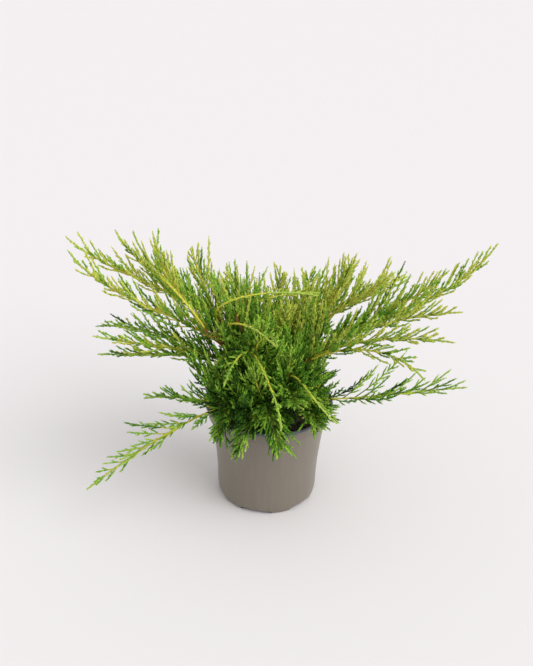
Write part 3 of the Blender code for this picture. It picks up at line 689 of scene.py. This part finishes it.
for name, slot, low, high, which, colour in (
    ("stems_rust", "bark", 0, 0.13, any_stem, (0.36, 0.13, 0.045)),
    ("stems_gold", "foliage_gold", 0.12, 0.70, bright, (0.74, 0.66, 0.06)),
    ("stems_green", "foliage_lime", 0.69, 1, bright, (0.38, 0.50, 0.08)),
    ("stems_dull", "foliage_deep", 0.12, 1, ~bright, (0.12, 0.17, 0.04)),
):
    path, way, t = stretch_of(leading[which], low, high, 26)
    # The lowest stretch is carried back into the bough's end.
    if low == 0:
        path = np.concatenate([path[:, :1] - 0.006 * way[:, :1], path], axis=1)
        way = np.concatenate([way[:, :1], way], axis=1)
        t = np.concatenate([[0], t])
    radii = np.broadcast_to(0.0011 + 0.0007 * np.exp(-t / 0.14), path.shape[:2])
    skin = sleeves(path, way, radii, 8)
    names = [plumes[index].name for index in np.unique(bearer[which])]
    placed(name, mesh_of(name, *skin), slot, names, young_wood(name, colour))

# ---------------------------------------------------------------- side twigs and sprays
# Side twigs fork off a stem by turns, left and right, and lift to the light. Each carries a loose, nearly
# flat spray of cords, and the cords carry short spurs. All are clad in scale leaves and dealt out by age,
# height and plume to seven tints.

fork_angle = np.radians(32)
first_twig, last_twig = 0.06, 0.90
below_every = 5
low_bough = 0.202
rim_clear = 0.0020
pot_top = 0.157
pot_reach = 0.095
# Factors for the length and number of a plume's side twigs, and for the number of mixed ones between them.
usual_habit = (1, 1, 2.8)
habit = {
    "plume_front_droop": (0.36, 1.5, 0),
    "plume_front_arch": (0.42, 1.5, 0),
    "plume_front_right": (0.50, 1.5, 0),
    "plume_front_left": (0.35, 1.5, 0),
    "plume_left_low": (1.10, 1.7, 0),
    "plume_right_low": (1.10, 1.5, 0.3),
    "plume_top_arch": (0.50, 1.5, 0),
    "plume_skirt_left": (1, 1, 6),
    "plume_skirt_right": (1.15, 1.2, 9),
    "plume_left_skirt": (1, 1, 6),
    "plume_right_skirt": (1.4, 1.6, 9),
    "plume_front_mid": (1.5, 1.4, 9),
    "plume_left_back": (1, 1, 1.8),
    "plume_left_mid": (1, 1, 1.8),
    "plume_left_under": (1, 1, 1.8),
    "plume_right_front": (1, 1, 2.0),
    "plume_right_mid": (1, 1, 2.0),
    "plume_right_droop": (1, 1, 1.8),
    "plume_right_fan": (1.15, 0.85, 2.0),
    "plume_right_back": (1.15, 0.85, 2.0),
    "plume_right_low_rise": (0.6, 1, 1.0),
}
# Tone of a plume's foliage by its tint, from dark to golden, and what single plumes are paler or darker by.
tone = {"deep": 0.26, "green": 0.49, "lime": 0.57, "gold": 0.63}
# These shifts are partly painted light, paler on the right and on top and darker on the left as the light
# falls, and partly each plume's own tone.
paler = {
    "plume_right_far": 0.03,
    "plume_right_up": 0.20,
    "plume_right_fan": 0.22,
    "plume_right_back": 0.20,
    "plume_right_front": 0.24,
    "plume_right_mid": 0.14,
    "plume_right_low_rise": 0.12,
    "plume_left_near": -0.10,
    "plume_left_back": 0.17,
    "plume_left_mid": -0.06,
    "plume_left_low_rise": -0.17,
    "plume_left_skirt": 0.10,
    "plume_left_low_up": -0.17,
    "plume_front_mid": 0.20,
    "plume_right_skirt": 0.06,
    "plume_skirt_left": 0.14,
    "plume_skirt_right": 0.14,
    "plume_skirt_rise": 0.06,
    "plume_top_back": 0.20,
    "plume_top_left": 0.10,
    "plume_top_right": 0.30,
    "plume_top_front": 0.18,
    "plume_back_right": 0.10,
    "plume_back_right_low": 0.20,
}
# Bright plumes at the sides have golden twig feet. All but the plumes of the front, the skirt and the low
# boughs have whippy twigs and golden flecks.
sideways = np.array([plume.name.startswith(("plume_left", "plume_right")) for plume in plumes])
golden = sideways & np.array([plume.tint in ("lime", "gold") for plume in plumes])
flecked = np.array([not any(word in plume.name for word in ("front_", "skirt", "low")) for plume in plumes])
plume_tone = np.array([tone[plume.tint] + paler.get(plume.name, 0) for plume in plumes])
# Shoots of a kind: their cubics, lengths, ages (0 at a stem's root to 1 at its tip) and numbers of plumes.
Twigs = namedtuple("Twigs", "cubic length age plume")


def twig_draws(key, count):
    """The random numbers of one plume's side twigs, three to every fifth twig and two to the rest."""
    rank = np.arange(count)
    place = 2 * rank + rank // below_every
    random = np.random.default_rng(key).random(3 * count)
    return rank, random[place], random[place + 1], random[place + 2]


def side_twigs(index, key, shorter, denser, outermost, uneven=0):
    """A plume's side twigs. Twig number rank stands at an even share of the stem, rolled from straight up
    by a golden-ratio sequence to alternate sides, and is shorter towards both ends of the stem. Every fifth
    one grows from the underside. uneven shortens them at random, and about a sixth are 1.4 times as long."""
    plume = plumes[index]
    count = int(plume.twigs * denser)
    rank, spot, size, below = twig_draws(key, count)
    share = first_twig + (outermost - first_twig) * (rank + 0.2 + 0.6 * spot) / count
    cubic = np.broadcast_to(stems[index], (count, 4, 3))
    start = along(cubic, share[:, None])[:, 0]
    way = course(cubic, share[:, None])[:, 0]
    up = unit(np.array([0, 0, 1.0]) - way[:, 2:] * way)
    side = np.cross(way, up)
    roll = (35 + 62 * (rank * 0.618 % 1)) * np.where(rank % 2, -1, 1)
    length = plume.longest * (1 - share) ** 0.65 * np.minimum(1, 0.55 + 1.6 * share) * (0.8 + 0.35 * size)
    under = rank % below_every == below_every - 1
    roll = np.radians(np.where(under, 130 + 100 * below, roll))[:, None]
    length = shorter * np.where(under, 0.7 * length, length)
    length *= 1 - uneven * np.random.default_rng([*key, 9]).random(count)
    length *= 1 + 0.40 * (np.random.default_rng([*key, 8]).random(count) > 0.82)
    out = np.cos(roll) * up + np.sin(roll) * side
    leave = unit(np.cos(fork_angle) * way + np.sin(fork_angle) * out)
    raised = (1.4 - share[:, None]) * np.array([0, 0, plume.lift])
    arrive = unit((0.6 + 0.6 * share[:, None]) * way + 0.4 * out + raised)
    end = start + length[:, None] * unit(leave + arrive)
    return Twigs(arches(start, leave, end, arrive), length, share, np.full(count, index))


def bough_twigs(each, least, most, rolls, outward, upward, age, key):
    """Twigs on the boughs themselves, at random places and rolls about each bough. They end in a direction
    made up of the given parts of outward and upward. Low boughs carry three times as many, those on the right
    are rolled half as far, and all take the tone of the darkest plume on their bough."""
    random = np.random.default_rng(key)
    low = np.array([bough.height < low_bough for bough in boughs])
    limb = np.repeat(np.arange(len(boughs)), np.where(low, 3 * each, each))
    draw = random.random((4, len(limb)))
    share = 0.10 + 0.88 * draw[0]
    cubic = bough_arches[limb]
    start = along(cubic, share[:, None])[:, 0]
    way = course(cubic, share[:, None])[:, 0]
    up = unit(np.array([0, 0, 1.0]) - way[:, 2:] * way)
    rolls = np.where([bough.name.startswith("bough_right") for bough in boughs], 0.5, 1)[limb] * rolls
    roll = np.radians(rolls * (2 * draw[1] - 1))[:, None]
    out = np.cos(roll) * up + np.sin(roll) * np.cross(way, up)
    length = least + (most - least) * draw[2]
    leave = unit(0.8 * way + 0.8 * out)
    level = unit(way * [1, 1, 0] + 0.8 * out * [1, 1, 0])
    arrive = unit(outward * level + 0.3 * out + np.array([0, 0, upward]))
    end = start + length[:, None] * unit(leave + arrive)
    carried = np.array([[plume.bough == bough.name for plume in plumes] for bough in boughs])
    mine = np.argmin(np.where(carried, plume_tone, 1), axis=1)
    return Twigs(arches(start, leave, end, arrive), length, age + 0.3 * draw[3], mine[limb])


def clear_of_pot(twigs):
    """Only the twigs that keep off the pot's wall and rim and out of the mix, at eight points of each."""
    points = along(twigs.cubic, np.linspace(0, 1, 8))
    reach, height = np.hypot(points[..., 0], points[..., 1]), points[..., 2]
    in_wall = (height < pot_top + rim_clear) & (reach > wall_radius) & (reach < pot_reach + rim_clear)
    in_mix = (height < soil_top + rim_clear) & (reach < pot_reach)
    free = ~(in_wall | in_mix).any(axis=1)
    return Twigs(*(values[free] for values in twigs))


def only(twigs, which):
    """Those of the twigs that the mask holds."""
    return Twigs(*(values[which] for values in twigs))


def joined(groups):
    """Several groups of twigs as one."""
    return Twigs(*(np.concatenate(values) for values in zip(*groups)))


def offshoots(parents, spacing, most, shrink, shortest, longest, fork, first, last, seed):
    """Shoots along each parent, by turns on its two sides and nearly in one plane. They get shorter towards
    the parent's tip, fork off at the given angle and curve back along it and up."""
    random = np.random.default_rng(seed)
    shape = parents.age.shape
    shrink, longest, fork, last = (np.broadcast_to(value, shape) for value in (shrink, longest, fork, last))
    count = np.clip(np.round((last - first) * parents.length / spacing), 1, most).astype(int)
    parent = np.repeat(np.arange(len(count)), count)
    rank = np.arange(len(parent)) - np.repeat(np.cumsum(count) - count, count)
    draw = random.random((5, len(parent)))
    share = first + (last[parent] - first) * (rank + 0.25 + 0.5 * draw[0]) / count[parent]
    cubic = parents.cubic[parent]
    start = along(cubic, share[:, None])[:, 0]
    way = course(cubic, share[:, None])[:, 0]
    lean = random.normal(size=(len(count), 3))
    plane = unit(np.cross(way, (np.array([0, -0.8, 0.8]) + 0.55 * lean)[parent]))
    tilt = np.radians(50 * (draw[1] - 0.5))[:, None]
    out = np.cos(tilt) * plane + np.sin(tilt) * np.cross(way, plane)
    out = out * np.where(rank % 2, -1, 1)[:, None]
    length = (shrink * parents.length)[parent] * (1.02 - share) ** 0.7 * (0.7 + 0.6 * draw[2])
    length = np.clip(length, shortest, longest[parent] * (0.7 + 0.3 * draw[4]))
    angle = (fork[parent] * (0.8 + 0.4 * draw[3]))[:, None]
    leave = np.cos(angle) * way + np.sin(angle) * out
    arrive = unit(leave + 0.9 * way + np.array([0, 0, 0.15]))
    end = start + length[:, None] * unit(leave + arrive)
    age = parents.age[parent] + 0.40 * share
    return Twigs(arches(start, leave, end, arrive), length, age, parents.plume[parent])


grown = []
for index, plume in enumerate(plumes):
    long, many, mixed = habit.get(plume.name, usual_habit)
    many *= 1.4 if flecked[index] else 1
    grown.append(side_twigs(index, [plant_seed, index], long, many, last_twig))
    grown.append(side_twigs(index, [plant_seed, index, 1], 1.1 * long, mixed, 0.84, uneven=0.65))
grown.append(
    bough_twigs(each=26, least=0.050, most=0.110, rolls=110, outward=0.3, upward=1.2, age=0.1, key=61)
)
grown.append(
    bough_twigs(each=20, least=0.040, most=0.080, rolls=130, outward=1.0, upward=0.0, age=-0.3, key=62)
)
twigs = clear_of_pot(joined(grown))

# Twigs high on the plant are whippy, with short cords close along them. Lower ones carry fuller sprays.
# The inmost ones, of an age below 0, have no bare feet. Each strand is a little older or younger than its
# place says, so that it has a tint of its own.
combed = np.clip(1.6 * twigs.age - 0.1, 0, 1)
whippy = flecked[twigs.plume]
with_feet = twigs.age > 0
twigs = twigs._replace(age=twigs.age + 0.72 * np.random.default_rng(46).normal(size=len(twigs.age)))
sprays = offshoots(
    twigs,
    spacing=np.where(whippy, 0.0052 + 0.0020 * combed, 0.0040 + 0.0050 * combed),
    most=14,
    shrink=np.where(whippy, 0.20, 0.26 + 0.16 * combed),
    shortest=0.005,
    longest=np.where(whippy, 0.010, 0.013 + 0.010 * combed),
    fork=np.radians(np.where(whippy, 30 - 6 * combed, 38 - 12 * combed)),
    first=0.16,
    last=np.where(whippy, 0.86, 0.90 - 0.32 * combed),
    seed=31,
)
sprays = clear_of_pot(sprays)
long_sprays = only(sprays, sprays.length > 0.0085)
spurs = clear_of_pot(
    joined(
        [
            offshoots(twigs, 0.0060, 12, 0.10, 0.0030, 0.0050, np.radians(34), 0.40, 0.94, 32),
            offshoots(long_sprays, 0.0048, 4, 0.25, 0.0028, 0.0042, np.radians(32), 0.25, 0.85, 33),
        ]
    )
)
stem_lengths = 1.1 * np.linalg.norm(leading[:, 2] - leading[:, 0], axis=1)
tips = Twigs(leading, stem_lengths, np.full(len(leading), 0.9), bearer)
tip_spurs = offshoots(tips, 0.0072, 40, 0.04, 0.0050, 0.0080, np.radians(36), 0.35, 0.97, 34)

# Tints of the scale leaves, from the shaded heart of the plant to its new golden growth.
tints = (
    ("shade", "foliage_deep", (0.020, 0.066, 0.008)),
    ("old", "foliage_deep", (0.043, 0.132, 0.014)),
    ("inner", "foliage_green", (0.088, 0.235, 0.022)),
    ("green", "foliage_green", (0.162, 0.385, 0.032)),
    ("lime", "foliage_lime", (0.275, 0.525, 0.050)),
    ("fresh", "foliage_lime", (0.450, 0.690, 0.085)),
    ("gold", "foliage_gold", (0.690, 0.745, 0.120)),
)


def tint_of(twigs, key):
    """Number of the tint of each shoot: brighter on bright plumes, towards tips and high on the plant, with a
    normal draw added. Only flecked plumes have the golden tint."""
    root, end = twigs.cubic[:, 0], twigs.cubic[:, 2]
    high = np.clip((end[:, 2] - 0.20) / 0.18, -0.5, 1)
    chance = np.random.default_rng(key).normal(size=len(root))
    value = plume_tone[twigs.plume] + 0.05 + 0.24 * (twigs.age - 0.5) + 0.14 * high + 0.11 * chance
    brightest = len(tints) - np.where(flecked[twigs.plume], 1, 2)
    return np.clip(np.floor(value * len(tints)), 0, brightest).astype(int)


def cord_skins(twigs, stations, thick, thin, low=0, high=1):
    """Three-sided cords along the shoots between two shares, thick at the low end and thin at the high."""
    t = np.linspace(low, high, stations)
    radii = np.broadcast_to(np.linspace(thick, thin, stations), (len(twigs.length), stations))
    return sleeves(along(twigs.cubic, t), course(twigs.cubic, t), radii, 3)


def scale_leaves(twigs, pitch, size, first, last, key, cord=0.0011):
    """Scale leaves in crossed pairs along the shoots, each a keeled kite of three faces: its root is in the
    cord, its two shoulders lie on it, and its tip stands a little off."""
    random = np.random.default_rng(key)
    pairs = np.maximum(1, np.round(twigs.length * (last - first) / pitch)).astype(int)
    shoot = np.repeat(np.arange(len(pairs)), 2 * pairs)
    rank = np.arange(len(shoot)) - np.repeat(2 * np.cumsum(pairs) - 2 * pairs, 2 * pairs)
    share = first + (last - first) * (rank // 2 + 0.6) / pairs[shoot]
    cubic = twigs.cubic[shoot]
    root = along(cubic, share[:, None])[:, 0]
    way = course(cubic, share[:, None])[:, 0]
    side = unit(np.cross(way, [0.31, 0.22, 0.92]))
    turn = (np.pi / 2 * (rank // 2) + np.pi * (rank % 2) + random.normal(0, 0.25, len(rank)))[:, None]
    out = np.cos(turn) * side + np.sin(turn) * np.cross(way, side)
    wide = np.cross(way, out)
    long = (size * random.uniform(0.8, 1.2, len(rank)) * (1 - 0.25 * share))[:, None]
    keel = root + 0.6 * cord * out - 0.3 * long * way
    left = root + 0.15 * long * way + 0.26 * long * wide + 0.8 * cord * out
    tip = root + 0.85 * long * way + (cord + 0.12 * long) * out
    points = np.stack([keel, left, tip, left - 0.52 * long * wide], axis=1).reshape(-1, 3)
    faces = np.array([(0, 1, 2), (0, 2, 3), (1, 3, 2)])
    return points, (faces[None] + 4 * np.arange(len(rank))[:, None, None]).reshape(-1, 3)


def merged(skins):
    """Several meshes as one: points end to end, faces numbered on."""
    points = np.concatenate([points for points, _ in skins])
    starts = np.cumsum([0] + [len(points) for points, _ in skins[:-1]])
    return points, np.concatenate([faces + start for (_, faces), start in zip(skins, starts)])


def needle_skin(name, colour):
    """Waxy scale leaf: one tint, mottled a little lighter and darker from leaf to leaf, with a soft sheen."""
    made = crumbly(name, tuple(0.58 * np.array(colour)), tuple(1.36 * np.array(colour)), 0.0026, 0.5)
    made.node_tree.nodes["Principled BSDF"].inputs["Specular IOR Level"].default_value = 0.14
    made.node_tree.nodes["Bump"].inputs["Strength"].default_value = 0.05
    return made


for name, slot, which, colour in (
    ("twig_feet_gold", "foliage_gold", golden[twigs.plume], (0.68, 0.60, 0.07)),
    ("twig_feet_green", "foliage_green", ~golden[twigs.plume], (0.20, 0.30, 0.035)),
):
    feet = only(twigs, which & with_feet)
    names = [plumes[index].name for index in np.unique(feet.plume)]
    skin = cord_skins(feet, 6, 0.0011, 0.0010, 0, 0.36)
    placed(name, mesh_of(name, *skin), slot, names, young_wood("wood_" + name, colour))

twig_tint, spray_tint, spur_tint = tint_of(twigs, 41), tint_of(sprays, 42), tint_of(spurs, 43)
end_tint = tint_of(twigs._replace(age=twigs.age + 0.45), 41)
tip_tint, tip_spur_tint = tint_of(tips, 44), tint_of(tip_spurs, 45)
for number, (tint, slot, colour) in enumerate(tints):
    some_twigs, some_sprays = only(twigs, twig_tint == number), only(sprays, spray_tint == number)
    some_ends, some_tips = only(twigs, end_tint == number), only(tips, tip_tint == number)
    some_spurs = joined([only(spurs, spur_tint == number), only(tip_spurs, tip_spur_tint == number)])
    cords = merged(
        [
            cord_skins(some_twigs, 4, 0.0010, 0.0011, 0.28, 0.66),
            cord_skins(some_ends, 5, 0.0011, 0.0012, 0.62, 1),
            cord_skins(some_sprays, 4, 0.0010, 0.0011),
        ]
    )
    leaves = merged(
        [
            scale_leaves(some_tips, 0.0032, 0.0044, 0.30, 1, 51, 0.0013),
            scale_leaves(some_twigs, 0.0034, 0.0038, 0.28, 0.64, 52),
            scale_leaves(some_ends, 0.0034, 0.0038, 0.64, 1, 52),
            scale_leaves(some_sprays, 0.0032, 0.0033, 0.05, 1, 53),
        ]
    )
    spurs_skin = cord_skins(some_spurs, 3, 0.0011, 0.0011)
    clad = np.unique(np.concatenate([some_twigs.plume, some_ends.plume, some_sprays.plume]))
    names = [plumes[index].name for index in clad]
    skin = needle_skin("needles_" + tint, colour)
    # The cords take their tint at four fifths: painted shade for where the scale leaves would shade them.
    shaded = needle_skin("under_needles_" + tint, tuple(0.80 * np.array(colour)))
    placed("cords_" + tint, mesh_of("cords_" + tint, *cords), slot, names, shaded)
    placed("spurs_" + tint, mesh_of("spurs_" + tint, *spurs_skin), slot, names, skin)
    placed("leaves_" + tint, mesh_of("leaves_" + tint, *leaves, smooth=False), slot, names, skin)
